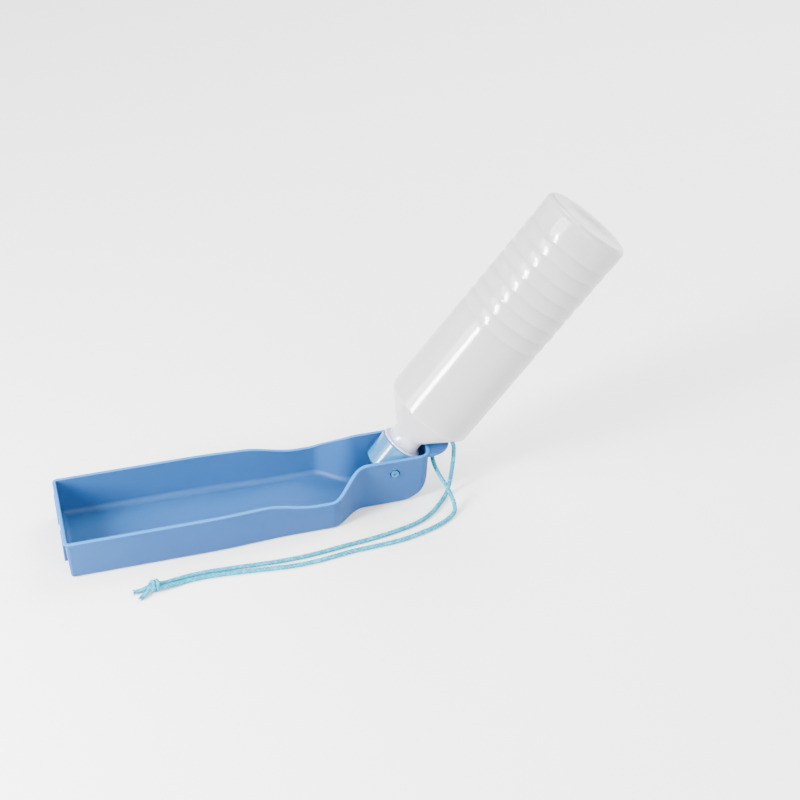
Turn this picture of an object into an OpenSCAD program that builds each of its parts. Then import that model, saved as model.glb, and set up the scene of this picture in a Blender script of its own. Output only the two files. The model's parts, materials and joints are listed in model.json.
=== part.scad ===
// Folding travel drinking bottle: a squeeze bottle screwed into a cap that swings in a drinking tray.
// X runs along the tray towards the hinge end, Z is up. The origin is on the table under the middle
// of the tray.

/* [Tray] */
// Length of the tray over its rim, without the cord tab
tray_l = 271; // [262:1:290]
// Width of the trough over its rim
tray_w = 75; // [74:0.5:84]
// Height of the trough's rim
trough_h = 33; // [30:0.5:38]
// Width taken off each side of the trough before the waist
taper = 2.6; // [1:0.1:2.8]
// Height of the rim at its lowest point, before the waist
dip_h = 26; // [23:0.5:29]
// Width of the hinge housing over its rim
housing_w = 39; // [39:0.2:43]
// Height of the hinge housing's rim
housing_h = 42.3; // [41.6:0.1:42.8]
// Thickness of the walls
wall = 1.5; // [1.2:0.1:1.7]
// Thickness of the floor
floor_t = 2; // [1.6:0.1:2.2]
// How far the rim stands out from the wall
rim_lip = 1; // [0.6:0.1:1.3]
// Height of the rim's bead
rim_bead = 2; // [1.6:0.1:3]
// Lean of the walls for moulding, in degrees
draft = 2; // [1:0.1:2.5]
// Radius of the trough's upright corners
trough_corner = 4; // [3:0.5:9]
// Radius of the housing's upright corners
housing_corner = 9; // [8:0.5:11]
// Radius of the housing's rounded end, seen from the side
end_round = 22; // [18:1:23]
// Radius of the cord tab
tab_r = 17.4; // [15:0.2:18]
// Thickness of the cord tab
tab_t = 2.4; // [2:0.1:2.8]
// How far the cord tab lies below the housing's rim
tab_drop = 0.6; // [0.4:0.1:1.2]
// Diameter of the cord hole
cord_hole_d = 7; // [6.8:0.1:7.6]
// Width of each upright rib on the trough's end wall
rib_w = 2.6; // [2:0.2:5]
// Distance between the two end ribs, middle to middle
rib_gap = 40; // [24:1:52]

/* [Hinge] */
// Distance from the housing's end to the hinge axis
hinge_inset = 28.5; // [28.3:0.1:29.2]
// Height of the hinge axis
hinge_h = 29.8; // [29.6:0.1:30.4]
// Tilt of the bottle above the table when it is folded out, in degrees
open_tilt = 51.8; // [51.2:0.1:53.5]
// Tilt of the bottle above the table when it is folded into the tray, in degrees
closed_tilt = 7; // [6.8:0.1:8]
// Diameter of the cap's hinge pins
pin_d = 5.8; // [5:0.1:7]
// Room around each hinge pin
pin_play = 0.9; // [0.4:0.05:1]
// How far each pin stands out of the housing
pin_proud = 0.8; // [0.3:0.1:1.5]
// Diameter of the hollow in each pin's end
pin_hollow_d = 2.6; // [1.6:0.1:3.6]

/* [Cap] */
// Outer diameter of the cap at its mouth
cap_d = 31.8; // [30.4:0.1:32]
// How much narrower the cap is at its closed end
cap_taper = 1.4; // [0.4:0.1:2]
// Distance from the hinge axis up to the cap's mouth
cap_mouth = 16; // [15.4:0.1:16.2]
// Distance from the hinge axis down to the cap's closed end
cap_end = 6; // [5.6:0.1:7]
// Diameter of the outlet spout
spout_d = 12; // [10:0.2:13]
// Diameter of the water outlet
outlet_d = 5; // [4:0.2:7]
// Distance from the hinge axis to the spout's tip
spout_reach = 22.5; // [22.2:0.1:22.8]
// Gap between the spout's tip and the stopper pad
seal_gap = 0.3; // [0.2:0.05:0.5]
// Thickness of the sealing washer
washer_t = 1.5; // [1:0.1:2]
// Width of the stopper pad
pad_w = 12; // [11:0.5:13]
// Height of the stopper pad
pad_h = 8; // [7:0.5:9]

/* [Bottle] */
// Diameter of the bottle
bottle_d = 66.8; // [62:0.1:67]
// Distance from the hinge axis to the bottle's base
base_l = 228.4; // [218:0.2:234]
// Distance from the hinge axis to the bottle's shoulder
shoulder_l = 50.2; // [49.8:0.1:54]
// Outer diameter of the bottle's neck
neck_d = 24; // [23:0.1:24.4]
// Outer diameter of the flange round the bottle's neck, above the cap
flange_d = 30.8; // [28:0.1:31.2]
// Thickness of the bottle's wall
bottle_wall = 1.2; // [0.8:0.1:1.6]
// Number of grip ridges
ridges = 7; // [4:1:7]
// Distance from one ridge to the next
ridge_pitch = 10.75; // [9:0.05:12]
// Depth of the grooves between the ridges
ridge_depth = 0.7; // [0.4:0.1:1.6]
// Distance from the hinge axis to the first ridge
ridge_start = 138.2; // [110:0.2:148]
// Pitch of the screw thread
thread_pitch = 3.5; // [3:0.1:4]
// Room between the neck's thread and the cap's thread
thread_play = 0.5; // [0.35:0.05:0.6]

/* [Cord] */
// Diameter of the cord
cord_d = 3.4; // [2.4:0.1:3.4]

/* [Hidden] */
$fn = 96;

tray_blue = [0.47, 0.64, 0.82];
cap_blue = [0.6, 0.78, 0.92];
milk_white = [0.92, 0.92, 0.93];
silicone_white = [0.9, 0.9, 0.88];
cord_blue = [0.45, 0.78, 0.86];

// Key places along the tray
x0 = -tray_l / 2;
x1 = tray_l / 2;
hinge_x = x1 - hinge_inset;
waist_l = 28;
waist_to_hinge = 22.5;
waist_end = hinge_x - waist_to_hinge;
waist_start = waist_end - waist_l;
taper_start = waist_start - 92;
taper_end = waist_start - 27;
dip_start = waist_start - 52;
dip_low = waist_start - 11;
rise_start = waist_start - 2;
rise_end = waist_end + 2;

// Roundings, and the smallest one that a corner keeps
under_fillet = 3;
inner_fillet = 4;
rim_round = 0.7;
edge = 0.4;

// A smooth step from 0 at a to 1 at b
function ease(x, a, b) = x <= a ? 0 : x >= b ? 1 : (1 - cos(180 * (x - a) / (b - a))) / 2;

// Half the rim's width, and the rim's height, at a place along the tray
function half_w(x) = tray_w / 2 - taper * ease(x, taper_start, taper_end)
    - (tray_w / 2 - taper - housing_w / 2) * ease(x, waist_start, waist_end);
function rim_z(x) = trough_h - (trough_h - dip_h) * ease(x, dip_start, dip_low)
    + (housing_h - dip_h) * ease(x, rise_start, rise_end);
function slope(x) = (half_w(x + 0.1) - half_w(x - 0.1)) / 0.2;
function climb(x) = (rim_z(x + 0.1) - rim_z(x - 0.1)) / 0.2;
function lean(z, top) = (top - z) * tan(draft);

// Height of a rounded end: flat, then a quarter circle up to the end wall
function end_rise(x, x_end, r) = let (u = x - (x_end - r)) u <= 0 ? 0 : r - sqrt(max(0, r * r - u * u));

// A station is a point on the rim's outer line, its outward normal, how far it can move inwards
// along that normal, and the way it goes on from there
no_limit = 99;
function steps(a, b, n) = [for (i = [1 : n]) a + (b - a) * i / n];
side_to = x1 - housing_corner - 1;
side_xs = concat([taper_start], steps(taper_start, dip_start, 4), steps(dip_start, rise_start, 10),
    steps(rise_start, rise_end, 13), steps(rise_end, x1 - end_round - rim_lip, 1),
    steps(x1 - end_round - rim_lip, side_to, 5));
function corner(cx, cy, r, a, b, n, way) = [for (i = [0 : n]) let (t = a + (b - a) * i / n)
    [[cx + r * cos(t), cy + r * sin(t)], [cos(t), sin(t)], r - edge, way]];
function side(x) = let (s = slope(x), n = [-s, -1] / norm([s, 1]))
    [[x, -half_w(x)], n, no_limit, [0, 0]];
stations = concat(
    corner(x0 + trough_corner, trough_corner - half_w(x0), trough_corner, 180, 270, 5, [1, 1]),
    [for (x = side_xs) side(x)],
    corner(x1 - housing_corner, housing_corner - half_w(x1), housing_corner, 270, 360, 6, [-1, 1]));
last = len(stations) - 1;

function moved(s, inset) = s[0] - s[1] * min(inset, s[2]) + s[3] * max(inset - s[2], 0);
function quarter(r) = [for (t = [0 : 30 : 90]) [r * (1 - sin(t)), r * (1 - cos(t))]];

// One station's outline: up the outside from the bottom, round the rim's bead, down to the floor
function column(s) = let (
        top = rim_z(s[0][0]),
        bead = rim_bead * norm([1, climb(s[0][0])]),
        x_out = x1 - rim_lip - lean(end_round, housing_h),
        x_in = x_out - wall,
        r_in = end_round - wall,
        z_out = end_rise(moved(s, rim_lip)[0], x_out, end_round),
        z_in = floor_t + end_rise(moved(s, rim_lip + wall)[0], x_in, r_in))
    concat(
        [for (q = quarter(under_fillet)) let (
            p = moved(s, rim_lip + lean(z_out + q[1], top) + q[0]))
            [p[0], p[1], end_rise(p[0], x_out, end_round) + q[1]]],
        [for (q = [[rim_lip + lean(top - bead, top), -bead], [edge / 2, -bead], [0, edge / 2 - bead],
                   [0, -rim_round], [0.3 * rim_round, -0.3 * rim_round], [rim_round, 0],
                   [rim_lip + wall - edge, 0], [rim_lip + wall, -edge]])
            let (p = moved(s, q[0])) [p[0], p[1], top + q[1]]],
        [for (i = [3 : -1 : 0]) let (
            q = quarter(inner_fillet)[i],
            p = moved(s, rim_lip + wall + lean(z_in + q[1], top) + q[0]))
            [p[0], p[1], floor_t + end_rise(p[0], x_in, r_in) + q[1]]]);

module shell() {
    near = [for (s = stations) column(s)];
    far = [for (k = [last : -1 : 0]) [for (p = near[k]) [p[0], -p[1], p[2]]]];
    loop = concat(near, far);
    m = len(near[0]);
    e = m - 1;
    n = len(loop);
    points = [for (c = loop, p = c) p];
    // The last stations whose bottom edge and floor edge lie flat
    flat_out = max([for (k = [0 : last]) near[k][0][2] <= 0.001 ? k : 0]);
    flat_in = max([for (k = [0 : last]) near[k][e][2] <= floor_t + 0.001 ? k : 0]);
    walls = [for (k = [0 : n - 1], j = [0 : m - 2], t = [0, 1])
        let (a = k * m + j, b = ((k + 1) % n) * m + j) t == 0 ? [a, a + 1, b + 1] : [a, b + 1, b]];
    // Bottom and floor: one flat face, then rungs from side to side up the rounded end
    bottom = [for (k = concat([for (i = [0 : flat_out]) i], [for (i = [flat_out : -1 : 0]) n - 1 - i])) k * m];
    rungs = [for (k = [flat_out : last - 1]) [for (i = [k, k + 1, n - 2 - k, n - 1 - k]) i * m]];
    ground = [for (k = concat([for (i = [0 : flat_in]) n - 1 - i], [for (i = [flat_in : -1 : 0]) i]))
        k * m + e];
    inner_rungs = [for (k = [flat_in : last - 1]) [for (i = [n - 1 - k, n - 2 - k, k + 1, k]) i * m + e]];
    polyhedron(points, concat(walls, [bottom, ground], rungs, inner_rungs), 10);
}

// The half-round tab at the hinge end, just below the rim
tab_top = housing_h - tab_drop;
tab_hole_x = x1 + 10;
module cord_tab() {
    inner = housing_corner - rim_lip - wall / 2;
    translate([0, 0, tab_top - tab_t])
        linear_extrude(tab_t)
            difference() {
                union() {
                    translate([x1, 0]) circle(tab_r);
                    translate([x1 - housing_corner, -tab_r]) square([housing_corner, 2 * tab_r]);
                }
                translate([x1 - 2 * tab_r, -housing_w / 2])
                    square([2 * tab_r - housing_corner, housing_w]);
                for (side = [-1, 1])
                    translate([x1 - housing_corner, side * (housing_w / 2 - housing_corner)]) circle(inner);
                translate([x1 - housing_corner - inner, housing_corner - housing_w / 2])
                    square([2 * inner, housing_w - 2 * housing_corner]);
            }
}

module end_ribs() {
    proud = 0.5;
    foot = 5;
    for (side = [-1, 1])
        translate([x0 - proud, side * rib_gap / 2 - rib_w / 2, foot])
            cube([proud + rim_lip + lean(foot, trough_h) + wall / 2, rib_w, trough_h - rim_bead / 2 - foot]);
}

// A cradle on the inside of the housing's end wall, open towards the hinge, that holds the stopper pad
pad_play = 0.3;
pad_z = hinge_h - spout_reach * sin(closed_tilt);
pad_back = x1 - rim_lip - wall - lean(pad_z - pad_h / 2, housing_h) - 0.8;
cradle_wall = 1.3;
cradle_front = hinge_x + spout_reach + seal_gap + 0.3;
module pad_cradle() {
    inner_w = pad_w + 2 * pad_play;
    low = pad_z - pad_h / 2 - pad_play - cradle_wall;
    end = x1 - rim_lip - wall / 2 - lean(low, housing_h);
    difference() {
        translate([cradle_front, -inner_w / 2 - cradle_wall, low])
            cube([end - cradle_front, inner_w + 2 * cradle_wall, pad_h + pad_play + cradle_wall]);
        translate([cradle_front - 1, -inner_w / 2, low + cradle_wall])
            cube([pad_back + 1 - cradle_front, inner_w, pad_h + 1]);
    }
}

module tray() {
    color(tray_blue)
        difference() {
            union() {
                shell();
                cord_tab();
                end_ribs();
                pad_cradle();
            }
            for (side = [-1, 1])
                translate([hinge_x, side * housing_w / 2, hinge_h])
                    rotate([90, 0, 0])
                        cylinder(d = pin_d + 2 * pin_play, h = 4 * (wall + rim_lip), center = true);
            translate([tab_hole_x, 0, tab_top - 2 * tab_t])
                cylinder(d = cord_hole_d, h = 3 * tab_t);
        }
}

// Everything on the bottle's axis is drawn upright on the hinge axis, then tilted into place
module on_bottle_axis() {
    translate([hinge_x, 0, hinge_h]) rotate([0, 90 - open_tilt, 0]) children();
}

// A thread ridge: a helix of trapezoid sections from root to crest radius
thread_root_w = 1.4;
thread_crest_w = 0.7;
thread_sink = 0.4;
module ridge_helix(root, crest) {
    per_turn = 24;
    n = round(per_turn * thread_turns);
    outline = [[root, -thread_root_w / 2], [crest, -thread_crest_w / 2],
               [crest, thread_crest_w / 2], [root, thread_root_w / 2]];
    rings = [for (i = [0 : n]) let (a = 360 * i / per_turn, h = thread_z + thread_pitch * i / per_turn)
        [for (q = outline) [q[0] * cos(a), q[0] * sin(a), h + q[1]]]];
    points = [for (r = rings, p = r) p];
    out = crest > root;
    sides = [for (i = [0 : n - 1], j = [0 : 3], t = [0, 1])
        let (a = 4 * i + j, b = 4 * i + (j + 1) % 4, c = a + 4, d = b + 4) t == 0 ? [a, b, d] : [a, d, c]];
    ends = [[3, 2, 1, 0], [4 * n, 4 * n + 1, 4 * n + 2, 4 * n + 3]];
    faces = concat(sides, ends);
    polyhedron(points, out ? faces : [for (f = faces) [for (i = [len(f) - 1 : -1 : 0]) f[i]]], 10);
}

// The neck inside the cap, and the cap's bore around it
neck_core_r = neck_d / 2 - 1;
neck_wall = 1.2;
neck_in_cap = 9.5;
neck_lip = cap_mouth - neck_in_cap;
thread_depth = 1.2;
thread_tip_r = neck_core_r + thread_depth;
bore_r = thread_tip_r + thread_play;
seat_z = neck_lip - washer_t;
thread_lead = 3.1;
thread_z = neck_lip + thread_lead;
thread_turns = 1.25;
flange_gap = 0.4;
flange_t = 1.3;
flange_z = cap_mouth + flange_gap;

module swivel_cap() {
    chamfer = 1.2;
    mouth_edge = 0.5;
    mouth_r = cap_d / 2;
    end_r = mouth_r - cap_taper / 2;
    tip_r = spout_d / 2;
    hole_r = outlet_d / 2;
    chamber_r = neck_core_r - neck_wall;
    end_wall = 2.2;
    chamber_end = cap_end - end_wall;
    tip_a = asin(tip_r / spout_reach);
    hole_a = asin(hole_r / spout_reach);
    tip = [for (i = [0 : 4]) let (a = tip_a + (hole_a - tip_a) * i / 4)
        [spout_reach * sin(a), -spout_reach * cos(a)]];
    pin_root = 0.8;
    pin_in = bore_r + pin_root;
    pin_hollow = 0.8;
    pin_out = housing_w / 2 - rim_lip - lean(hinge_h, housing_h) + pin_proud;
    color(cap_blue)
        on_bottle_axis() {
            difference() {
                union() {
                    rotate_extrude()
                        polygon(concat(
                            [[bore_r, cap_mouth], [mouth_r - mouth_edge, cap_mouth],
                             [mouth_r, cap_mouth - mouth_edge], [end_r, chamfer - cap_end],
                             [end_r - chamfer, -cap_end], [tip_r, -cap_end]],
                            tip,
                            [[hole_r, -chamber_end], [chamber_r, -chamber_end], [chamber_r, seat_z],
                             [neck_core_r + thread_play, seat_z], [neck_core_r + thread_play, neck_lip],
                             [bore_r, neck_lip]]));
                    for (side = [-1, 1])
                        translate([0, side * (pin_in + pin_out) / 2, 0])
                            rotate([90, 0, 0]) cylinder(d = pin_d, h = pin_out - pin_in, center = true);
                }
                for (side = [-1, 1])
                    translate([0, side * pin_out, 0])
                        rotate([90, 0, 0]) cylinder(d = pin_hollow_d, h = 2 * pin_hollow, center = true);
            }
            rotate([0, 0, 180])
                ridge_helix(bore_r + thread_sink, neck_core_r + thread_play);
        }
}

module neck_washer() {
    color(silicone_white)
        on_bottle_axis()
            translate([0, 0, seat_z])
                difference() {
                    cylinder(r = neck_core_r + 0.3, h = washer_t);
                    translate([0, 0, -1]) cylinder(r = neck_core_r - neck_wall, h = washer_t + 2);
                }
}

module outlet_pad() {
    color(silicone_white)
        difference() {
            translate([hinge_x, -pad_w / 2, pad_z - pad_h / 2]) cube([pad_back - hinge_x, pad_w, pad_h]);
            translate([hinge_x, 0, hinge_h])
                rotate([90, 0, 0]) cylinder(r = spout_reach + seal_gap, h = 2 * pad_w, center = true);
        }
}

// The neck just clears the housing's end rim when the bottle is folded out, and its cone starts past it
edge_x = hinge_inset - rim_lip - wall;
edge_z = housing_h - hinge_h;
past_rim = 0.5;
cone_l = edge_x * cos(open_tilt) + edge_z * sin(open_tilt) + past_rim;
bottle_r = bottle_d / 2;
cone_a = atan((bottle_r - neck_d / 2) / (shoulder_l - cone_l));

// Points of an arc of radius r about a centre, between two angles
function arc(cx, cz, r, a, b, n) = [for (i = [0 : n]) let (t = a + (b - a) * i / n)
    [cx + r * cos(t), cz + r * sin(t)]];

shoulder_round = 3;
base_round = 4;
per_ridge = 8;
groove_from = ridge_start - ridge_pitch / 2;
// From 0 at a ridge's crest to 1 in the middle of a groove
function near_groove(l) = let (t = (l - groove_from) / ridge_pitch) 1 - 2 * abs(t - round(t));
function ridged(l) = bottle_r - ridge_depth * pow(near_groove(l), 2);

// The bottle's outline from the neck's foot to the base, set in by t
function body_line(t) = concat(
    [[neck_d / 2 - t, cone_l + t * tan(cone_a / 2)]],
    arc(bottle_r - shoulder_round, shoulder_l + shoulder_round * tan(cone_a / 2), shoulder_round - t,
        -cone_a, 0, 4),
    [for (i = [0 : (ridges + 1) * per_ridge])
        let (l = groove_from - ridge_pitch / 2 + i * ridge_pitch / per_ridge) [ridged(l) - t, l]],
    arc(bottle_r - base_round, base_l - base_round, base_round - t, 0, 90, 4));

module bottle() {
    lip_r = neck_core_r - neck_wall;
    foot_r = 18;
    push_up = 1.6;
    foot_rise = 0.5;
    flange_r = flange_d / 2;
    collar = 0.9;
    collar_l = 3;
    inner = body_line(bottle_wall);
    color(milk_white)
        on_bottle_axis() {
            rotate_extrude()
                polygon(concat(
                    [[lip_r, neck_lip], [neck_core_r, neck_lip], [neck_core_r, flange_z],
                     [flange_r, flange_z], [flange_r, flange_z + flange_t],
                     [neck_d / 2 + collar, flange_z + flange_t],
                     [neck_d / 2, flange_z + flange_t + collar_l]],
                    body_line(0),
                    [[foot_r, base_l - foot_rise], [0, base_l - push_up],
                     [0, base_l - push_up - bottle_wall], [foot_r, base_l - foot_rise - bottle_wall]],
                    [for (i = [len(inner) - 1 : -1 : 0]) inner[i]],
                    [[lip_r, cone_l - (neck_wall - bottle_wall)]]));
            ridge_helix(neck_core_r - thread_sink, thread_tip_r);
        }
}

// The cord is one length, knotted at its ends. It goes up through the tab's hole and over the tab's
// edge on one side, and hangs from the hole on the other. Each leg runs from the middle of the hole
// to the knot on the table.
over_tab = [
    [145.5, 0, 40.5], [146.2, -0.7, 41.7], [147.1, -1.5, 43], [148.1, -2.5, 43.8], [149.3, -3.6, 44.1],
    [150.4, -4.7, 44.1], [151.6, -5.8, 43.7], [152.6, -6.7, 43.1], [153.5, -7.6, 42.1], [154.2, -8.3, 40.9],
    [154.7, -8.7, 39.3], [154.9, -9, 36.5], [154.9, -9.3, 32], [154.6, -9.8, 27], [154, -10.5, 21.5],
    [153, -11.7, 15.5], [151.6, -13.3, 10.2], [149.8, -15.6, 5.8], [147.4, -18.6, 2.9], [144, -22.4, 1.8],
    [139.2, -27.8, 1.8], [133, -34, 1.8], [125.5, -39.6, 1.8], [117, -43.8, 1.8], [107.5, -46.8, 1.8],
    [88, -50.8, 1.8], [78, -52.2, 1.8], [58, -54.4, 1.8], [46, -55.9, 1.8], [34, -57.1, 1.8],
    [21, -57.8, 1.8], [8, -57.7, 1.8], [-5, -57, 1.8], [-18, -56.1, 1.8], [-43, -55.1, 1.8],
    [-54, -55.6, 1.8], [-61, -56.9, 2.1], [-66.5, -58.7, 2.9], [-70, -59.9, 3.6], [-72, -60.25, 3.8],
    [-74, -60.25, 3.8]];
under_tab = [
    [145.5, 0, 40.5], [144.8, 0.7, 39.3], [143.9, 1.4, 37.5], [143, 1.8, 35.5], [142.2, 1.8, 33.3],
    [141.5, 1.2, 31], [141, -0.1, 28.8], [140.6, -2.2, 26.8], [140.4, -5, 25.2], [140.5, -8.6, 23.6],
    [141, -12.6, 21.9], [142.4, -18.8, 19.2], [145.2, -25, 14.9], [147.3, -30.3, 9.6], [148.2, -34, 5.6],
    [147.9, -37.8, 2.8], [146, -40.8, 1.8], [142.8, -43.8, 1.8], [138, -47, 1.8], [132, -50.1, 1.8],
    [124, -53.1, 1.8], [114, -56, 1.8], [104.5, -58.2, 1.8], [95, -59.5, 1.8], [75, -60.6, 1.8],
    [65, -61, 1.8], [45, -63.5, 1.8], [35, -64.6, 1.8], [24, -65, 1.8], [12, -64.5, 1.8],
    [-1, -63.2, 1.8], [-28, -60.5, 1.8], [-42, -59.7, 1.8], [-54, -60.1, 1.8], [-62, -61.5, 2.2],
    [-67, -62.6, 2.9], [-70, -63.5, 3.6], [-72, -63.75, 3.8], [-74, -63.75, 3.8]];
knot_at = [-74, -62, 4.6];

function unit(v) = v / norm(v);
function heading(p, i) = i == 0 ? unit(p[1] - p[0]) : i == len(p) - 1 ? unit(p[i] - p[i - 1])
    : unit(unit(p[i] - p[i - 1]) + unit(p[i + 1] - p[i]));
// Each ring's own sideways direction, carried along the route without twist
function sideways(p, i, s) = let (h = heading(p, i), n = unit(s - h * (s * h)))
    i == len(p) - 1 ? [n] : concat([n], sideways(p, i + 1, n));

module tube(p, d, sides = 8) {
    across = sideways(p, 0, [0, 1, 0]);
    points = [for (i = [0 : len(p) - 1]) let (h = heading(p, i), u = across[i], v = cross(h, u))
        each [for (k = [0 : sides - 1]) p[i] + d / 2 * (cos(360 * k / sides) * u + sin(360 * k / sides) * v)]];
    n = len(p) - 1;
    skin = [for (i = [0 : n - 1], k = [0 : sides - 1], t = [0, 1])
        let (a = sides * i + k, b = sides * i + (k + 1) % sides)
            t == 0 ? [a, a + sides, b + sides] : [a, b + sides, b]];
    start = [for (k = [0 : sides - 1]) k];
    stop = [for (k = [sides - 1 : -1 : 0]) n * sides + k];
    polyhedron(points, concat(skin, [start, stop]), 10);
}

module cord_over_tab() {
    color(cord_blue) tube(over_tab, cord_d);
}

module cord_under_tab() {
    color(cord_blue) tube(under_tab, cord_d);
}

// A round bar between two points
module bar(a, b, d) {
    v = b - a;
    translate(a) rotate([0, acos(v[2] / norm(v)), atan2(v[1], v[0])]) cylinder(d = d, h = norm(v));
}

// The knot is a short fat roll with the cord's two cut ends behind it
module cord_knot() {
    long = 10;
    fat = 1.3 * cord_d;
    face = 1.2 * cord_d;
    round_off = 1.5;
    color(cord_blue) {
        translate(knot_at) rotate([0, -90, 0])
            rotate_extrude()
                polygon([[0, 0], [face, 0], [fat, round_off], [fat, long - 2 * round_off],
                         [face - 0.5, long - 0.5 * round_off], [face / 2, long], [0, long]]);
        bar(knot_at + [-8, 0.8, -1.2], knot_at + [-19, -0.3, -2.5], cord_d);
        bar(knot_at + [-7.5, -1, -1.2], knot_at + [-15.6, -7, -2.5], cord_d);
    }
}

tray();
swivel_cap();
neck_washer();
outlet_pad();
bottle();
cord_over_tab();
cord_under_tab();
cord_knot();
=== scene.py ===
import bpy
import json
import math
import numpy as np
from mathutils import Matrix, Vector


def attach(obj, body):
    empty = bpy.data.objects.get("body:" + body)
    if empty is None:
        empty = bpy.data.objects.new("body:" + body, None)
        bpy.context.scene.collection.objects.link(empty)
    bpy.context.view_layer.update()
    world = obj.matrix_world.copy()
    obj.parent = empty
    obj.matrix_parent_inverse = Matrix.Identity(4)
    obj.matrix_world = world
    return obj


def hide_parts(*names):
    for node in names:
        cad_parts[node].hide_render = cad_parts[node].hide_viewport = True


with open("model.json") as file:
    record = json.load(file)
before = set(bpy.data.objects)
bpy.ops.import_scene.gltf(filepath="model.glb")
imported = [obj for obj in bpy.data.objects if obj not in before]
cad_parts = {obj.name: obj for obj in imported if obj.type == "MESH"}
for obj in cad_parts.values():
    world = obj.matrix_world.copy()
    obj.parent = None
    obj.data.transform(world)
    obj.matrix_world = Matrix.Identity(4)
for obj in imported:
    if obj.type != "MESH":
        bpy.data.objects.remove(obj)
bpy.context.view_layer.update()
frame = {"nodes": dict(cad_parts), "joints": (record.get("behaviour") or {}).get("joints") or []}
mm = 0.001  # sizes that are given in millimetres are multiplied by this
print("frame loaded:", ", ".join(sorted(frame["nodes"])))


# Small helpers for working as by hand

def deselectAll():
    bpy.ops.object.select_all(action="DESELECT")


def pick(piece):
    deselectAll()
    piece.select_set(True)
    bpy.context.view_layer.objects.active = piece


def newPiece(name, mesh):
    piece = bpy.data.objects.new(name, mesh)
    bpy.context.scene.collection.objects.link(piece)
    return piece


def applyModifier(piece, kind, **settings):
    pick(piece)
    modifier = piece.modifiers.new(kind.title(), kind)
    for key, value in settings.items():
        setattr(modifier, key, value)
    bpy.ops.object.modifier_apply(modifier=modifier.name)


def smoothByAngle(piece, degrees):
    pick(piece)
    bpy.ops.object.shade_smooth_by_angle(angle=math.radians(degrees))


# Camera: where the photograph was taken from

cameraSetup = {
    "azimuth": 16.52,
    "elevation": 39.03,
    "roll": 0.81,
    "distance": 1.12826,
    "aim": (0.10599, 0.00215, 0.02572),
    "imageSide": 800,
    "focalPixels": 1517.79,
    "centreX": 385.92,
    "centreY": 461.46,
    "sensor": 36,
    "clipStart": 0.01,
}


def addCamera(setup):
    azimuth, elevation, roll = (math.radians(setup[k]) for k in ("azimuth", "elevation", "roll"))
    ahead = Vector((math.sin(azimuth) * math.cos(elevation), math.cos(azimuth) * math.cos(elevation),
                    -math.sin(elevation)))
    level = Vector((math.cos(azimuth), -math.sin(azimuth), 0))
    upward = level.cross(ahead)
    right = level * math.cos(roll) + upward * math.sin(roll)
    up = upward * math.cos(roll) - level * math.sin(roll)
    lens = bpy.data.cameras.new("photoLens")
    side = setup["imageSide"]
    lens.sensor_width = setup["sensor"]
    lens.lens = setup["focalPixels"] * setup["sensor"] / side
    lens.shift_x = (side / 2 - setup["centreX"]) / side
    lens.shift_y = (setup["centreY"] - side / 2) / side
    lens.clip_start = setup["clipStart"]
    camera = bpy.data.objects.new("photoCamera", lens)
    bpy.context.scene.collection.objects.link(camera)
    place = Vector(setup["aim"]) - ahead * setup["distance"]
    camera.matrix_world = Matrix.Translation(place) @ Matrix((right, up, -ahead)).transposed().to_4x4()
    bpy.context.scene.camera = camera


addCamera(cameraSetup)
print("camera placed")


# Shader building

def addNode(tree, kind, place=(0, 0), inputs=None, **settings):
    node = tree.nodes.new(kind)
    node.location = place
    for key, value in settings.items():
        setattr(node, key, value)
    for key, value in (inputs or {}).items():
        if isinstance(value, bpy.types.NodeSocket):
            tree.links.new(value, node.inputs[key])
        else:
            node.inputs[key].default_value = value
    return node


def addGroup(name, sockets):
    group = bpy.data.node_groups.new(name, "ShaderNodeTree")
    for label, way, kind, value in sockets:
        socket = group.interface.new_socket(label, in_out=way, socket_type=kind)
        if value is not None:
            socket.default_value = value
    entry = group.nodes.new("NodeGroupInput")
    leave = group.nodes.new("NodeGroupOutput")
    leave.location = (900, 0)
    return group, entry, leave


# Moulded plastic: cloudy tone, fine skin, faint scuffs, and a painted light colour (painted highlight or
# painted glow) mixed in where a mesh marks it
mouldedPattern = {
    "cloud": {"Scale": 14, "Detail": 3, "Roughness": 0.5},
    "cloudRange": (0.3, 0.7),
    "scuff": {"Scale": 1, "Detail": 4, "Roughness": 0.6},
    "scuffStretch": (30, 340, 340),
    "scuffSlant": (0, 0, 0.3),
    "scuffRange": (0.55, 0.75),
    "skin": {"Scale": 900, "Detail": 2, "Roughness": 0.6},
}


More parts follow.
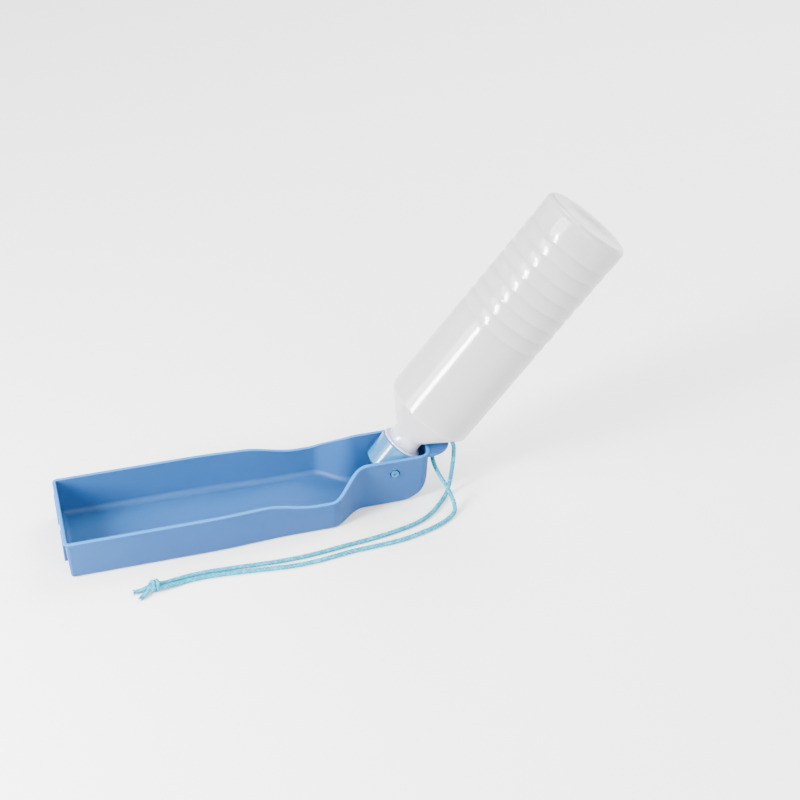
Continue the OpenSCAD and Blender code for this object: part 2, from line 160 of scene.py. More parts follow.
def makeMouldedSurface(pattern):
    group, entry, leave = addGroup("mouldedSurface", [
        ("Colour", "INPUT", "NodeSocketColor", (0.5, 0.5, 0.5, 1)),
        ("Painted Light Colour", "INPUT", "NodeSocketColor", (0.8, 0.8, 0.8, 1)),
        ("Cloud", "INPUT", "NodeSocketFloat", 0.05),
        ("Scuffs", "INPUT", "NodeSocketFloat", 0.3),
        ("Smooth Roughness", "INPUT", "NodeSocketFloat", 0.25),
        ("Scuffed Roughness", "INPUT", "NodeSocketFloat", 0.45),
        ("Colour", "OUTPUT", "NodeSocketColor", None),
        ("Roughness", "OUTPUT", "NodeSocketFloat", None),
        ("Height", "OUTPUT", "NodeSocketFloat", None),
    ])
    where = addNode(group, "ShaderNodeTexCoord", (-900, 0)).outputs["Object"]
    clouds = addNode(group, "ShaderNodeTexNoise", (-600, 200), {"Vector": where, **pattern["cloud"]})
    thin, thick = pattern["cloudRange"]
    swing = addNode(group, "ShaderNodeMapRange", (-400, 200), {"Value": clouds.outputs["Fac"],
                    "From Min": thin, "From Max": thick, "To Min": -1, "To Max": 1})
    shift = addNode(group, "ShaderNodeMath", (-200, 200),
                    {0: swing.outputs["Result"], 1: entry.outputs["Cloud"]}, operation="MULTIPLY")
    tone = addNode(group, "ShaderNodeMath", (-50, 200), {0: shift.outputs[0], 1: 1}, operation="ADD")
    tinted = addNode(group, "ShaderNodeVectorMath", (100, 200),
                     {0: entry.outputs["Colour"], "Scale": tone.outputs[0]}, operation="SCALE")
    # The mesh's share of painted light decides how much painted light colour is mixed in
    paintedShare = addNode(group, "ShaderNodeAttribute", (-100, -50), attribute_name="paintedLightShare").outputs["Fac"]
    colour = addNode(group, "ShaderNodeMix", (400, 100), {"Factor": paintedShare}, data_type="RGBA")
    group.links.new(tinted.outputs[0], colour.inputs["A"])
    group.links.new(entry.outputs["Painted Light Colour"], colour.inputs["B"])
    stretch = addNode(group, "ShaderNodeMapping", (-700, -400), {"Vector": where,
                      "Scale": pattern["scuffStretch"], "Rotation": pattern["scuffSlant"]})
    lines = addNode(group, "ShaderNodeTexNoise", (-500, -400),
                    {"Vector": stretch.outputs[0], **pattern["scuff"]})
    faint, clear = pattern["scuffRange"]
    scuff = addNode(group, "ShaderNodeMapRange", (-300, -400), {"Value": lines.outputs["Fac"],
                    "From Min": faint, "From Max": clear, "To Min": 0, "To Max": 1})
    amount = addNode(group, "ShaderNodeMath", (-100, -400),
                     {0: scuff.outputs["Result"], 1: entry.outputs["Scuffs"]}, operation="MULTIPLY")
    rough = addNode(group, "ShaderNodeMapRange", (400, -200), {"Value": amount.outputs[0],
                    "To Min": entry.outputs["Smooth Roughness"],
                    "To Max": entry.outputs["Scuffed Roughness"]})
    skin = addNode(group, "ShaderNodeTexNoise", (-300, -700), {"Vector": where, **pattern["skin"]})
    height = addNode(group, "ShaderNodeMath", (400, -500),
                     {0: skin.outputs["Fac"], 1: amount.outputs[0]}, operation="SUBTRACT")
    group.links.new(colour.outputs["Result"], leave.inputs["Colour"])
    group.links.new(rough.outputs["Result"], leave.inputs["Roughness"])
    group.links.new(height.outputs[0], leave.inputs["Height"])
    return group


mouldedSurface = makeMouldedSurface(mouldedPattern)


def startMaterial(name):
    material = bpy.data.materials.new(name)
    material.use_nodes = True
    tree = material.node_tree
    shader = tree.nodes["Principled BSDF"]
    return material, tree, shader


def mouldedMaterial(name, finish):
    material, tree, shader = startMaterial(name)
    surface = addNode(tree, "ShaderNodeGroup", (-500, 200), node_tree=mouldedSurface)
    for key in surface.inputs.keys():
        if key in finish:
            surface.inputs[key].default_value = finish[key]
    bump = addNode(tree, "ShaderNodeBump", (-250, -200), {"Height": surface.outputs["Height"],
                   "Strength": finish["bump"], "Distance": finish["bumpDepth"]})
    tree.links.new(surface.outputs["Colour"], shader.inputs["Base Color"])
    tree.links.new(surface.outputs["Roughness"], shader.inputs["Roughness"])
    tree.links.new(bump.outputs["Normal"], shader.inputs["Normal"])
    for key, value in finish["shader"].items():
        shader.inputs[key].default_value = value
    return material


trayFinish = {
    "Colour": (0.014, 0.063, 0.178, 1),
    # Painted highlight colour for the top of the rim's bead
    "Painted Light Colour": (0.015, 0.13, 0.34, 1),
    "Cloud": 0.03,
    "Scuffs": 0.35,
    "Smooth Roughness": 0.5,
    "Scuffed Roughness": 0.6,
    "bump": 0.12,
    "bumpDepth": 0.0004,
    "shader": {"Subsurface Weight": 0.6, "Subsurface Radius": (0.3, 0.6, 1), "Subsurface Scale": 0.004,
               "Specular IOR Level": 0.15},
}
capFinish = {
    "Colour": (0.016, 0.1, 0.22, 1),
    "Cloud": 0.03,
    "Scuffs": 0.2,
    "Smooth Roughness": 0.15,
    "Scuffed Roughness": 0.3,
    "bump": 0.08,
    "bumpDepth": 0.0003,
    "shader": {"Subsurface Weight": 0.2, "Subsurface Radius": (0.4, 0.7, 1), "Subsurface Scale": 0.003,
               "Specular IOR Level": 0.5},
}
bottleFinish = {
    "Colour": (0.92, 0.91, 0.94, 1),
    # Painted light: the blue that the cap's light gives the neck
    "Painted Light Colour": (0.44, 0.48, 0.8, 1),
    "Cloud": 0.015,
    "Scuffs": 0.25,
    "Smooth Roughness": 0.08,
    "Scuffed Roughness": 0.22,
    "bump": 0.05,
    "bumpDepth": 0.0003,
    "shader": {"Subsurface Weight": 0.85, "Subsurface Radius": (1, 1, 1), "Subsurface Scale": 0.035,
               "Specular IOR Level": 0.5},
}
siliconeFinish = {
    "Colour": (0.7, 0.7, 0.67, 1),
    "Cloud": 0.03,
    "Scuffs": 0.1,
    "Smooth Roughness": 0.55,
    "Scuffed Roughness": 0.65,
    "bump": 0.15,
    "bumpDepth": 0.0003,
    "shader": {"Subsurface Weight": 0.3, "Subsurface Radius": (1, 0.9, 0.8), "Subsurface Scale": 0.002},
}
# The stopper pad's near-black navy is painted shade, standing in for the deep shade inside the housing
# behind the cap
padShadeFinish = {
    "Colour": (0.02, 0.018, 0.11, 1),
    "Cloud": 0.05,
    "Scuffs": 0.2,
    "Smooth Roughness": 0.5,
    "Scuffed Roughness": 0.62,
    "bump": 0.15,
    "bumpDepth": 0.0003,
    "shader": {"Specular IOR Level": 0.3},
}
trayPlastic = mouldedMaterial("trayPlastic", trayFinish)
capPlastic = mouldedMaterial("capPlastic", capFinish)
bottlePlastic = mouldedMaterial("bottlePlastic", bottleFinish)
siliconeRubber = mouldedMaterial("siliconeRubber", siliconeFinish)
shadeDarkRubber = mouldedMaterial("shadeDarkRubber", padShadeFinish)


# Braided cord: the braid's hollows are painted darker, as painted shade, than the paler tops of its strands
cordFinish = {
    "hollow": (0.001, 0.07, 0.12, 1),
    "strand": (0.004, 0.24, 0.36, 1),
    "fleck": (0.02, 0.4, 0.54, 1),
    "mottle": {"Scale": 420, "Detail": 3, "Roughness": 0.6},
    "fleckRange": (0.45, 0.7),
    "fleckMost": 0.7,
    "threadsAround": 26,
    "threadsAlong": 7,
    "thread": {"Scale": 1, "Distortion": 1.2, "Detail": 1},
    "roughness": (0.5, 0.8),
    "shine": 0.12,
    "bump": 0.35,
    "bumpDepth": 0.00015,
}


def cordMaterial(name, finish):
    material, tree, shader = startMaterial(name)
    depth = addNode(tree, "ShaderNodeAttribute", (-1100, 200), attribute_name="braidTop").outputs["Fac"]
    where = addNode(tree, "ShaderNodeTexCoord", (-1300, -200))
    mottle = addNode(tree, "ShaderNodeTexNoise", (-1100, -50),
                     {"Vector": where.outputs["Object"], **finish["mottle"]})
    base = addNode(tree, "ShaderNodeMix", (-800, 200), {"Factor": depth}, data_type="RGBA")
    base.inputs["A"].default_value = finish["hollow"]
    base.inputs["B"].default_value = finish["strand"]
    few, many = finish["fleckRange"]
    share = addNode(tree, "ShaderNodeMapRange", (-800, -50), {"Value": mottle.outputs["Fac"],
                    "From Min": few, "From Max": many, "To Min": 0, "To Max": finish["fleckMost"]})
    flecked = addNode(tree, "ShaderNodeMix", (-500, 200), {"Factor": share.outputs["Result"]},
                      data_type="RGBA")
    tree.links.new(base.outputs["Result"], flecked.inputs["A"])
    flecked.inputs["B"].default_value = finish["fleck"]
    tree.links.new(flecked.outputs["Result"], shader.inputs["Base Color"])
    threads = addNode(tree, "ShaderNodeMapping", (-1100, -350), {"Vector": where.outputs["UV"],
                      "Scale": (finish["threadsAround"], finish["threadsAlong"], 1)})
    fibres = addNode(tree, "ShaderNodeTexWave", (-800, -350),
                     {"Vector": threads.outputs[0], **finish["thread"]}, bands_direction="DIAGONAL")
    bump = addNode(tree, "ShaderNodeBump", (-250, -300), {"Height": fibres.outputs["Fac"],
                   "Strength": finish["bump"], "Distance": finish["bumpDepth"]})
    tree.links.new(bump.outputs["Normal"], shader.inputs["Normal"])
    smoothest, roughest = finish["roughness"]
    rough = addNode(tree, "ShaderNodeMapRange", (-500, -50), {"Value": mottle.outputs["Fac"],
                    "To Min": smoothest, "To Max": roughest})
    tree.links.new(rough.outputs["Result"], shader.inputs["Roughness"])
    shader.inputs["Specular IOR Level"].default_value = finish["shine"]
    return material


braidedYarn = cordMaterial("braidedYarn", cordFinish)
print("materials ready")


# The cord: one length, in two stretches from the tab's hole to the knot, in millimetres as laid out

cordSpec = {
    "diameter": 3.4,
    "sides": 32,
    "ringStep": 0.3,
    "strands": 4,
    "stitch": 2.6,
    "strandRound": 0.6,  # below 1 the strands are broad with narrow hollows
    "overUnder": 0.38,  # how far a strand dips where it goes under
    "braidDepth": 0.14,
    "endHeight": 0.5,
}
overTabRoute = [
    (145.5, 0, 40.5), (146.2, -0.7, 41.7), (147.1, -1.5, 43), (148.1, -2.5, 43.8), (149.3, -3.6, 44.1),
    (150.4, -4.7, 44.1), (151.6, -5.8, 43.7), (152.6, -6.7, 43.1), (153.5, -7.6, 42.1),
    (154.2, -8.3, 40.9), (154.7, -8.7, 39.3), (154.9, -9, 36.5), (154.9, -9.3, 32), (154.6, -9.8, 27),
    (154, -10.5, 21.5), (153, -11.7, 15.5), (151.6, -13.3, 10.2), (149.8, -15.6, 5.8),
    (147.4, -18.6, 2.9), (144, -22.4, 1.8), (139.2, -27.8, 1.8), (133, -34, 1.8), (125.5, -39.6, 1.8),
    (117, -43.8, 1.8), (107.5, -46.8, 1.8), (88, -50.8, 1.8), (78, -52.2, 1.8), (58, -54.4, 1.8),
    (46, -55.9, 1.8), (34, -57.1, 1.8), (21, -57.8, 1.8), (8, -57.7, 1.8), (-5, -57, 1.8),
    (-18, -56.1, 1.8), (-43, -55.1, 1.8), (-54, -55.6, 1.8), (-61, -56.9, 2.1), (-66.5, -58.7, 2.9),
    (-70, -59.9, 3.6), (-72, -60.25, 3.8), (-74, -60.25, 3.8),
]
underTabRoute = [
    (145.5, 0, 40.5), (144.8, 0.7, 39.3), (143.9, 1.4, 37.5), (143, 1.8, 35.5), (142.2, 1.8, 33.3),
    (141.5, 1.2, 31), (141, -0.1, 28.8), (140.6, -2.2, 26.8), (140.4, -5, 25.2), (140.5, -8.6, 23.6),
    (141, -12.6, 21.9), (142.4, -18.8, 19.2), (145.2, -25, 14.9), (147.3, -30.3, 9.6),
    (148.2, -34, 5.6), (147.9, -37.8, 2.8), (146, -40.8, 1.8), (142.8, -43.8, 1.8), (138, -47, 1.8),
    (132, -50.1, 1.8), (124, -53.1, 1.8), (114, -56, 1.8), (104.5, -58.2, 1.8), (95, -59.5, 1.8),
    (75, -60.6, 1.8), (65, -61, 1.8), (45, -63.5, 1.8), (35, -64.6, 1.8), (24, -65, 1.8),
    (12, -64.5, 1.8), (-1, -63.2, 1.8), (-28, -60.5, 1.8), (-42, -59.7, 1.8), (-54, -60.1, 1.8),
    (-62, -61.5, 2.2), (-67, -62.6, 2.9), (-70, -63.5, 3.6), (-72, -63.75, 3.8), (-74, -63.75, 3.8),
]


# A smooth line through the points, then points every step along it
def smoothLine(points, step, stepsBetween=24):
    p = np.array(points, float)
    ends = np.vstack([2 * p[0] - p[1], p, 2 * p[-1] - p[-2]])
    t = np.linspace(0, 1, stepsBetween, endpoint=False)[:, None]
    fine = []
    for i in range(len(p) - 1):
        a, b, c, d = ends[i:i + 4]
        ka, kb, kc = (math.sqrt(np.linalg.norm(v)) for v in (b - a, c - b, d - c))
        leaveB = (c - b) + kb * ((b - a) / ka - (c - a) / (ka + kb))
        reachC = (c - b) + kb * ((d - c) / kc - (d - b) / (kb + kc))
        fine.append((2 * t ** 3 - 3 * t ** 2 + 1) * b + (t ** 3 - 2 * t ** 2 + t) * leaveB
                    + (3 * t ** 2 - 2 * t ** 3) * c + (t ** 3 - t ** 2) * reachC)
    fine = np.vstack(fine + [p[-1:]])
    run = np.concatenate([[0], np.cumsum(np.linalg.norm(np.diff(fine, axis=0), axis=1))])
    at = np.linspace(0, run[-1], round(run[-1] / step) + 1)
    return np.stack([np.interp(at, run, fine[:, k]) for k in range(3)], 1), at


# Each ring's two sideways directions, carried along the line without twist
def ringAxes(line):
    heading = np.gradient(line, axis=0)
    heading /= np.linalg.norm(heading, axis=1)[:, None]
    across = np.zeros_like(line)
    side = np.cross(heading[0], (0, 0, 1))
    for i, h in enumerate(heading):
        side = side - h * (side @ h)
        side = side / np.linalg.norm(side)
        across[i] = side
    return across, np.cross(heading, across)


# How high the braid stands, from 0 in its hollows to 1 on its strands
def braidHeight(angle, along, spec):
    turn = 2 * math.pi * along / (spec["strands"] * spec["stitch"])
    rightHand = spec["strands"] * (angle + turn)
    leftHand = spec["strands"] * (angle - turn)
    dip = spec["overUnder"]
    rightOver = (0.5 + 0.5 * np.cos(rightHand)) ** spec["strandRound"] * (1 - dip + dip * np.sin(leftHand))
    leftOver = (0.5 + 0.5 * np.cos(leftHand)) ** spec["strandRound"] * (1 - dip - dip * np.sin(rightHand))
    return np.clip(np.maximum(rightOver, leftOver), 0, 1)


# One braided tube, as points, faces, the braid's height at each point and each face's UV places,
# and the line that it follows
def braidedTube(points, spec, narrowing=None):
    line, at = smoothLine(points, spec["ringStep"])
    across, upward = (axes[:, None, :] for axes in ringAxes(line))
    sides = spec["sides"]
    angle = 2 * np.pi * np.arange(sides) / sides
    height = braidHeight(angle[None, :], at[:, None], spec)
    radius = spec["diameter"] / 2 * (1 - spec["braidDepth"] * (1 - height))
    if narrowing is not None:
        radius = radius * narrowing(at / at[-1])[:, None]
    ring = np.cos(angle)[None, :, None] * across + np.sin(angle)[None, :, None] * upward
    skin = (line[:, None, :] + radius[:, :, None] * ring).reshape(-1, 3)
    vertices = np.vstack([skin, line[:1], line[-1:]])
    heights = np.concatenate([height.reshape(-1), [spec["endHeight"]] * 2])
    rise = at / (math.pi * spec["diameter"])  # one UV unit along is as long as one unit round
    top = (len(line) - 1) * sides
    startPoint, endPoint = len(skin), len(skin) + 1
    faces = []
    places = []
    for i in range(len(line) - 1):
        low, high = i * sides, (i + 1) * sides
        for k in range(sides):
            n = (k + 1) % sides
            left, right = k / sides, (k + 1) / sides
            faces.append((low + k, low + n, high + n, high + k))
            places.append(((left, rise[i]), (right, rise[i]), (right, rise[i + 1]), (left, rise[i + 1])))
    for k in range(sides):
        n = (k + 1) % sides
        left, right = k / sides, (k + 1) / sides
        faces.append((n, k, startPoint))
        places.append(((right, 0), (left, 0), (0.5, 0)))
        faces.append((top + k, top + n, endPoint))
        places.append(((left, rise[-1]), (right, rise[-1]), (0.5, rise[-1])))
    return (vertices, faces, heights, places), line


def yarnPiece(name, parts):
    vertices, faces, heights, places = [], [], [], []
    start = 0
    for v, f, h, p in parts:
        vertices.append(v)
        faces += [tuple(i + start for i in face) for face in f]
        heights.append(h)
        places += p
        start += len(v)
    mesh = bpy.data.meshes.new(name)
    mesh.from_pydata((np.vstack(vertices) * mm).tolist(), [], faces)
    top = mesh.attributes.new("braidTop", "FLOAT", "POINT")
    top.data.foreach_set("value", np.concatenate(heights).astype(np.float32))
    uv = mesh.uv_layers.new(name="UVMap")
    uv.data.foreach_set("uv", np.array([c for face in places for c in face], np.float32).reshape(-1))
    mesh.shade_smooth()
    mesh.materials.append(braidedYarn)
    return newPiece(name, mesh)


def lineLength(line):
    return float(np.linalg.norm(np.diff(line, axis=0), axis=1).sum())


def addCordLeg(name, route, node):
    tube, line = braidedTube(route, cordSpec)
    leg = yarnPiece(name, [tube])
    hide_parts(node)
    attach(leg, "tray")
    print(name, "is", round(lineLength(line), 1), "mm long")


addCordLeg("cordOverTab", overTabRoute, "cord_over_tab")
addCordLeg("cordUnderTab", underTabRoute, "cord_under_tab")


# The knot: both legs run through it, wrapped by the same pair, and leave as two cut tails
knotSpec = {
    "centre": (-79, -62, 4.6),
    "core": [(5, 1.75, 3.8), (2.5, 1.3, 4), (0, 1.3, 4.4), (-3, 1.3, 4.1)],  # along, aside, up
    "coreSqueeze": 0.2,
    "squeezeRate": 4,
    "wrapRadius": 3.15,
    "wrapTurns": 1.6,
    "wrapPitch": 2.8,
    "wrapNarrow": 0.82,
    "wrapSteps": 40,
    "wrapFrom": 0.6,
    "wrapLift": 0.1,
    "tuckRate": 5,
    "tuckRadius": 0.8,
    "tilt": 0.32,
    "tailNarrow": 0.9,
}
tailRoutes = [
    [(-80, -61.2, 3.9), (-83, -61, 3.5), (-86, -61.5, 2.8), (-89.5, -62, 2.2), (-93, -62.3, 2.1)],
    [(-80, -62.8, 3.9), (-82.5, -63.3, 3.4), (-85, -65, 2.6), (-87.5, -67.1, 2.1), (-89.6, -69, 2)],
]
fraySpec = {
    "fibres": 34,
    "length": 2.1,
    "shortest": 0.6,
    "thickness": 0.17,
    "corners": (0, 2.1, 4.2),  # in radians round a fibre
    "rootDepth": 0.5,
    "rootSpread": 0.42,
    "bellyAt": 0.6,
    "bellyThin": 0.8,
    "spread": 0.55,
    "droop": 0.12,
    "lowest": 0.12,
    # Where the fibres sit between the painted hollow shade and the strand tops
    "paleness": 0.75,
    "uvStep": 0.1,
    "seed": 7,
}


# One wrap round the knot's core, tucked in at both ends
def wrapRoute(spec, shift):
    cx, cy, cz = spec["centre"]
    route = []
    for i in range(spec["wrapSteps"] + 1):
        t = i / spec["wrapSteps"]
        turn = 2 * math.pi * spec["wrapTurns"] * t + spec["wrapFrom"]
        grow = min(1, spec["tuckRate"] * t, spec["tuckRate"] * (1 - t))
        radius = spec["wrapRadius"] * (3 * grow ** 2 - 2 * grow ** 3) + spec["tuckRadius"] * (1 - grow)
        along = (0.5 - t) * spec["wrapPitch"] * spec["wrapTurns"] + shift
        lean = spec["tilt"] * radius * math.cos(turn)
        route.append((cx + along + lean, cy + radius * math.sin(turn),
                      cz + spec["wrapLift"] + radius * math.cos(turn)))
    return route


# The loose fibres of a cut end, each a thin pointed spike
def fray(tip, heading, spec, rng):
    parts = []
    side = np.cross(heading, (0, 0, 1))
    side /= np.linalg.norm(side)
    up = np.cross(side, heading)
    thick = spec["thickness"]
    count = len(spec["corners"])
    for _ in range(spec["fibres"]):
        turn = rng.uniform(0, 2 * math.pi)
        out = math.sqrt(rng.uniform(0, 1))
        aside = math.cos(turn) * side + math.sin(turn) * up
        base = tip + aside * out * cordSpec["diameter"] * spec["rootSpread"]
        flare = heading + spec["spread"] * out * aside
        flare = flare / np.linalg.norm(flare)
        reach = spec["length"] * rng.uniform(spec["shortest"], 1)
        a = np.cross(flare, up)
        a /= np.linalg.norm(a)
        b = np.cross(flare, a)
        around = [math.cos(w) * a + math.sin(w) * b for w in spec["corners"]]
        root = [base - flare * spec["rootDepth"] + thick * way for way in around]
        middle = base + flare * reach * spec["bellyAt"]
        belly = [middle + thick * spec["bellyThin"] * way for way in around]
        point = base + flare * reach + np.array((0, 0, -spec["droop"] * reach))
        vertices = np.array(root + belly + [point])
        vertices[:, 2] = np.maximum(vertices[:, 2], spec["lowest"])
        faces = [tuple(range(count))[::-1]]
        for k in range(count):
            n = (k + 1) % count
            faces.append((k, n, count + n, count + k))
            faces.append((count + k, count + n, 2 * count))
        places = [tuple((spec["uvStep"] * j, spec["uvStep"]) for j in range(len(f))) for f in faces]
        parts.append((vertices, faces, np.full(len(vertices), spec["paleness"]), places))
    return parts


def addKnot(spec):
    parts = []
    cx, cy, _ = spec["centre"]
    for side in (1, -1):
        core = [(cx + along, cy + side * aside, height) for along, aside, height in spec["core"]]
        tube, _ = braidedTube(core, cordSpec,
                              lambda t: 1 - spec["coreSqueeze"] * np.clip(spec["squeezeRate"] * t, 0, 1))
        parts.append(tube)
    for shift in (spec["wrapPitch"] / 2, -spec["wrapPitch"] / 2):
        tube, _ = braidedTube(wrapRoute(spec, shift), cordSpec,
                              lambda t: np.full_like(t, spec["wrapNarrow"]))
        parts.append(tube)
    rng = np.random.default_rng(fraySpec["seed"])
    for route in tailRoutes:
        tube, line = braidedTube(route, cordSpec,
                                 lambda t: spec["tailNarrow"] + (1 - spec["tailNarrow"]) * t)
        parts.append(tube)
        heading = line[-1] - line[-4]
        parts += fray(line[-1], heading / np.linalg.norm(heading), fraySpec, rng)
    knot = yarnPiece("cordKnot", parts)
    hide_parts("cord_knot")
    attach(knot, "tray")


addKnot(knotSpec)
print("cord laid and knotted")


# Rigid mouldings: the frame's own shapes, cleaned, with rounded edges and smooth skins

mouldingSpec = {
    "mergeWithin": 0.01,
    "flatWithin": 0.3,  # this angle and the next two are in degrees
    "roundOver": 32,
    "smoothUpTo": 40,
    "roundSteps": 2,
    "faceWeight": 60,
}
rimHighlightSpec = {
    "above": 23,
    "hingeEnd": 122,
    "aboveAtHinge": 41.85,
    "facingUp": 0.25,
}


def mouldedPiece(name, node, body, material, rounding):
    spec = mouldingSpec
    piece = newPiece(name, frame["nodes"][node].data.copy())
    pick(piece)
    bpy.ops.object.mode_set(mode="EDIT")
    bpy.ops.mesh.select_all(action="SELECT")
    bpy.ops.mesh.remove_doubles(threshold=spec["mergeWithin"] * mm)
    bpy.ops.mesh.dissolve_limited(angle_limit=math.radians(spec["flatWithin"]))
    bpy.ops.object.mode_set(mode="OBJECT")
    applyModifier(piece, "BEVEL", width=rounding * mm, segments=spec["roundSteps"], limit_method="ANGLE",
                  angle_limit=math.radians(spec["roundOver"]), use_clamp_overlap=True, harden_normals=False)
    smoothByAngle(piece, spec["smoothUpTo"])
    applyModifier(piece, "WEIGHTED_NORMAL", keep_sharp=True, weight=spec["faceWeight"])
    piece.data.materials.clear()
    piece.data.materials.append(material)
    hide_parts(node)
    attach(piece, body)
    print(name, len(piece.data.polygons), "faces")
    return piece


# The faces on top of the rim's bead take the painted light colour, a painted highlight where light from
# above catches the rim, and what lies lower at the hinge end doesn't
def paintRimHighlight(piece, spec):
    highlightShare = np.zeros(len(piece.data.polygons), np.float32)
    for face in piece.data.polygons:
        atHinge = face.center.x > spec["hingeEnd"] * mm
        low = spec["aboveAtHinge"] if atHinge else spec["above"]
        if face.normal.z > spec["facingUp"] and face.center.z > low * mm:
            highlightShare[face.index] = 1
    piece.data.attributes.new("paintedLightShare", "FLOAT", "FACE").data.foreach_set("value", highlightShare)


tray = mouldedPiece("trayMoulding", "tray", "tray", trayPlastic, 0.2)
paintRimHighlight(tray, rimHighlightSpec)
mouldedPiece("capMoulding", "swivel_cap", "cap", capPlastic, 0.25)
mouldedPiece("neckSeal", "neck_washer", "washer", siliconeRubber, 0.2)
# The stopper pad takes the painted shade colour
mouldedPiece("stopperPad", "outlet_pad", "tray", shadeDarkRubber, 0.4)


# The bottle: turned from its outline, with its thread, then tilted onto the frame's axis

bottleSpec = {
    "radius": 33.4,
    "wall": 1.2,
    "neckRadius": 12,
    "neckCore": 11,
    "neckWall": 1.2,
    "lip": 6.5,
    "lipRound": 0.25,
    "flangeRadius": 15.4,
    "flangeLow": 16.4,
    "flangeHigh": 17.7,
    "collarOut": 0.9,
    "collarLength": 3,
    "shoulder": 50.2,
    "shoulderRound": 3,
    "shoulderSteps": 8,
    "base": 228.4,
    "baseRound": 4,
    "baseSteps": 10,
    "foot": 18,
    "footRise": 0.5,
    "footStep": (2, 0.3),
    "pushUp": 1.6,
    "ridges": 7,
    "ridgePitch": 10.75,
    "ridgeDepth": 0.7,
    "ridgeStart": 138.2,
    "ridgeSteps": 20,
    "turnSteps": 160,
    "mergeWithin": 0.001,
    "smoothUpTo": 50,
    "capLightFullUpTo": 18,
    "capLightGoneAt": 32,
}
threadSpec = {
    "start": 9.6,
    "pitch": 3.5,
    "turns": 1.25,
    "depth": 1.2,
    "sink": 0.4,
    "rootWidth": 1.4,
    "crestWidth": 0.7,
    "stepsPerTurn": 64,
}


# From the hinge to the housing's end rim, past which the neck widens into the cone
housingEdge = {"along": 26, "above": 12.5, "past": 0.5}

turnJoint = next(j for j in frame["joints"] if j["name"] == "bottle_turn")
hingePoint = Vector(turnJoint["pos_m"])
bottleAxis = Vector(turnJoint["axis"]).normalized()
lean = Vector((0, 0, 1)).rotation_difference(bottleAxis).to_matrix().to_4x4()
intoPlace = Matrix.Translation(hingePoint) @ lean
coneStart = (housingEdge["along"] * bottleAxis.x + housingEdge["above"] * bottleAxis.z
             + housingEdge["past"])


def arc(cx, cz, r, a, b, count):
    turns = [a + (b - a) * i / count for i in range(count + 1)]
    return [(cx + r * math.cos(math.radians(t)), cz + r * math.sin(math.radians(t))) for t in turns]


# The side from the neck to the base, with rounded ridges that meet in narrow grooves
def bottleSide(spec, inset):
    radius, pitch, steps = spec["radius"], spec["ridgePitch"], spec["ridgeSteps"]
    slopeAngle = math.degrees(math.atan((radius - spec["neckRadius"]) / (spec["shoulder"] - coneStart)))
    bend = math.tan(math.radians(slopeAngle / 2))
    side = [(spec["neckRadius"] - inset, coneStart + inset * bend)]
    side += arc(radius - spec["shoulderRound"], spec["shoulder"] + spec["shoulderRound"] * bend,
                spec["shoulderRound"] - inset, -slopeAngle, 0, spec["shoulderSteps"])
    grooveFrom = spec["ridgeStart"] - pitch / 2
    for i in range((spec["ridges"] + 1) * steps + 1):
        l = grooveFrom - pitch / 2 + i * pitch / steps
        apart = (l - grooveFrom) / pitch
        nearGroove = 1 - 2 * abs(apart - round(apart))
        side.append((radius - spec["ridgeDepth"] * nearGroove ** 2 - inset, l))
    side += arc(radius - spec["baseRound"], spec["base"] - spec["baseRound"], spec["baseRound"] - inset,
                0, 90, spec["baseSteps"])
    return side


# The lip, neck and flange outside, as far as the cone
def neckOutline(spec):
    core, neck, flange = spec["neckCore"], spec["neckRadius"], spec["flangeRadius"]
    lip, low, high = spec["lip"], spec["flangeLow"], spec["flangeHigh"]
    mouth, edge = core - spec["neckWall"], spec["lipRound"]
    return [(mouth, lip + edge), (mouth + edge, lip), (core - edge, lip), (core, lip + edge), (core, low),
            (flange - edge, low), (flange, low + edge), (flange, high - edge), (flange - edge, high),
            (neck + spec["collarOut"], high), (neck, high + spec["collarLength"])]


# The pushed-up base, from its foot to the middle outside and back inside
def baseOutline(spec):
    lift = spec["base"] - spec["pushUp"]
    rise = spec["base"] - spec["footRise"]
    foot, wall = spec["foot"], spec["wall"]
    inward, deeper = spec["footStep"]
    return [(foot, rise), (foot - inward, rise - deeper), (0, lift), (0, lift - wall),
            (foot - inward, rise - deeper - wall), (foot, rise - wall)]


def bottleOutline(spec):
    outer, inner = bottleSide(spec, 0), bottleSide(spec, spec["wall"])
    mouth = spec["neckCore"] - spec["neckWall"]
    return neckOutline(spec) + outer + baseOutline(spec) + inner[::-1] + [(mouth, coneStart)]


def turnedSolid(name, outline, spec):
    deselectAll()
    bpy.ops.mesh.primitive_circle_add(vertices=len(outline), radius=spec["radius"] * mm)
    solid = bpy.context.active_object
    solid.name = name
    for vertex, (r, z) in zip(solid.data.vertices, outline):
        vertex.co = (r * mm, 0, z * mm)
    bpy.ops.object.mode_set(mode="EDIT")
    bpy.ops.mesh.select_all(action="SELECT")
    bpy.ops.mesh.spin(steps=spec["turnSteps"], angle=2 * math.pi, center=(0, 0, 0), axis=(0, 0, 1))
    bpy.ops.mesh.select_all(action="SELECT")
    bpy.ops.mesh.remove_doubles(threshold=spec["mergeWithin"] * mm)
    bpy.ops.mesh.normals_make_consistent(inside=False)
    bpy.ops.object.mode_set(mode="OBJECT")
    return solid


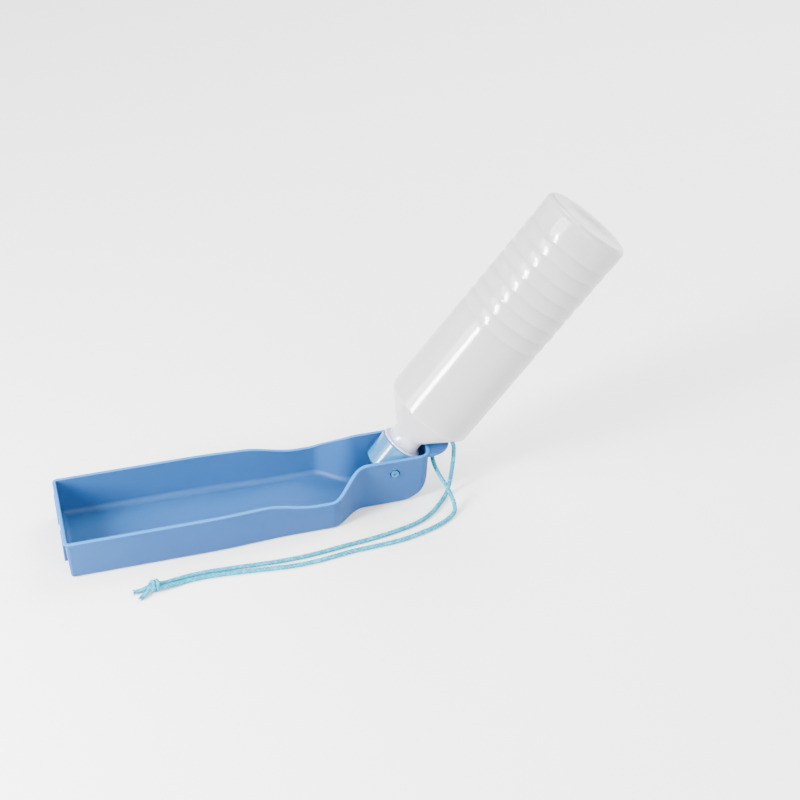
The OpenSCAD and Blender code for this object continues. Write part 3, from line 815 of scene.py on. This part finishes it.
# The neck's screw thread, a tapered ridge wound round it and closed at both ends
def addThread(spec, core):
    deselectAll()
    bpy.ops.mesh.primitive_circle_add(vertices=4, radius=spec["depth"] * mm)
    thread = bpy.context.active_object
    low, high = core - spec["sink"], core + spec["depth"]
    root, crest = spec["rootWidth"] / 2, spec["crestWidth"] / 2
    section = [(low, -root), (high, -crest), (high, crest), (low, root)]
    for vertex, (r, z) in zip(thread.data.vertices, section):
        vertex.co = (r * mm, 0, (z + spec["start"]) * mm)
    steps = round(spec["turns"] * spec["stepsPerTurn"])
    applyModifier(thread, "SCREW", axis="Z", angle=2 * math.pi * spec["turns"], steps=steps,
                  render_steps=steps, screw_offset=spec["pitch"] * spec["turns"] * mm)
    bpy.ops.object.mode_set(mode="EDIT")
    bpy.ops.mesh.select_all(action="DESELECT")
    bpy.ops.mesh.select_non_manifold()
    bpy.ops.mesh.edge_face_add()
    bpy.ops.mesh.select_all(action="SELECT")
    bpy.ops.mesh.normals_make_consistent(inside=False)
    bpy.ops.object.mode_set(mode="OBJECT")
    return thread


# Painted light: the milky neck is given a blue tint that stands in for the cap's blue light showing through
# it, fading up its cone
def paintCapLightOnNeck(bottle, spec):
    place = np.empty(3 * len(bottle.data.vertices))
    bottle.data.vertices.foreach_get("co", place)
    along = (place.reshape(-1, 3) - np.array(hingePoint)) @ np.array(bottleAxis) / mm
    share = np.clip((spec["capLightGoneAt"] - along) / (spec["capLightGoneAt"] - spec["capLightFullUpTo"]), 0, 1)
    paintedCapLight = bottle.data.attributes.new("paintedLightShare", "FLOAT", "POINT")
    paintedCapLight.data.foreach_set("value", share.astype(np.float32))


def addBottle():
    bottle = turnedSolid("squeezeBottle", bottleOutline(bottleSpec), bottleSpec)
    thread = addThread(threadSpec, bottleSpec["neckCore"])
    pick(bottle)
    thread.select_set(True)
    bpy.ops.object.join()
    bottle.data.transform(intoPlace)
    paintCapLightOnNeck(bottle, bottleSpec)
    smoothByAngle(bottle, bottleSpec["smoothUpTo"])
    bottle.data.materials.append(bottlePlastic)
    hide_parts("bottle")
    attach(bottle, "bottle")
    print("bottle", len(bottle.data.polygons), "faces")


addBottle()


# Pale floor and soft light

stageSetup = {
    "floorSize": 24,
    "floorColour": (0.68, 0.68, 0.685, 1),
    "floorRoughness": 0.9,
    "worldColour": (1, 1, 1, 1),
    "worldStrength": 1.7,
}
lights = {
    "keySoftbox": {"at": (-1.8, -0.4, 1.15), "aim": (0.05, 0, 0.05), "size": (1.2, 1.2), "power": 110},
    "streakBox": {"at": (-0.75, -0.309, 0.43), "aim": (0.17, -0.01, 0.14), "size": (0.16, 0.48),
                  "power": 40},
    "fillSoftbox": {"at": (0.4, -1.7, 1.3), "aim": (0, 0, 0.05), "size": (1.4, 1.4), "power": 70},
    "backSoftbox": {"at": (1.1, 0.6, 1.5), "aim": (0.2, 0, 0.2), "size": (1, 1), "power": 80},
}


def addFloor(setup):
    deselectAll()
    bpy.ops.mesh.primitive_plane_add(size=setup["floorSize"], location=(0, 0, 0))
    floor = bpy.context.active_object
    floor.name = "paleFloor"
    material, _, shader = startMaterial("paleFloor")
    shader.inputs["Base Color"].default_value = setup["floorColour"]
    shader.inputs["Roughness"].default_value = setup["floorRoughness"]
    floor.data.materials.append(material)


def addSoftRoom(setup):
    world = bpy.data.worlds.new("softRoom")
    world.use_nodes = True
    background = world.node_tree.nodes["Background"]
    background.inputs["Color"].default_value = setup["worldColour"]
    background.inputs["Strength"].default_value = setup["worldStrength"]
    bpy.context.scene.world = world


def addSoftbox(name, setup):
    lamp = bpy.data.lights.new(name, "AREA")
    lamp.shape = "RECTANGLE"
    lamp.size, lamp.size_y = setup["size"]
    lamp.energy = setup["power"]
    holder = bpy.data.objects.new(name, lamp)
    bpy.context.scene.collection.objects.link(holder)
    holder.location = setup["at"]
    away = Vector(setup["aim"]) - Vector(setup["at"])
    holder.rotation_euler = away.to_track_quat("-Z", "Y").to_euler()


addFloor(stageSetup)
addSoftRoom(stageSetup)
for name, setup in lights.items():
    addSoftbox(name, setup)
print("stage and lights ready")
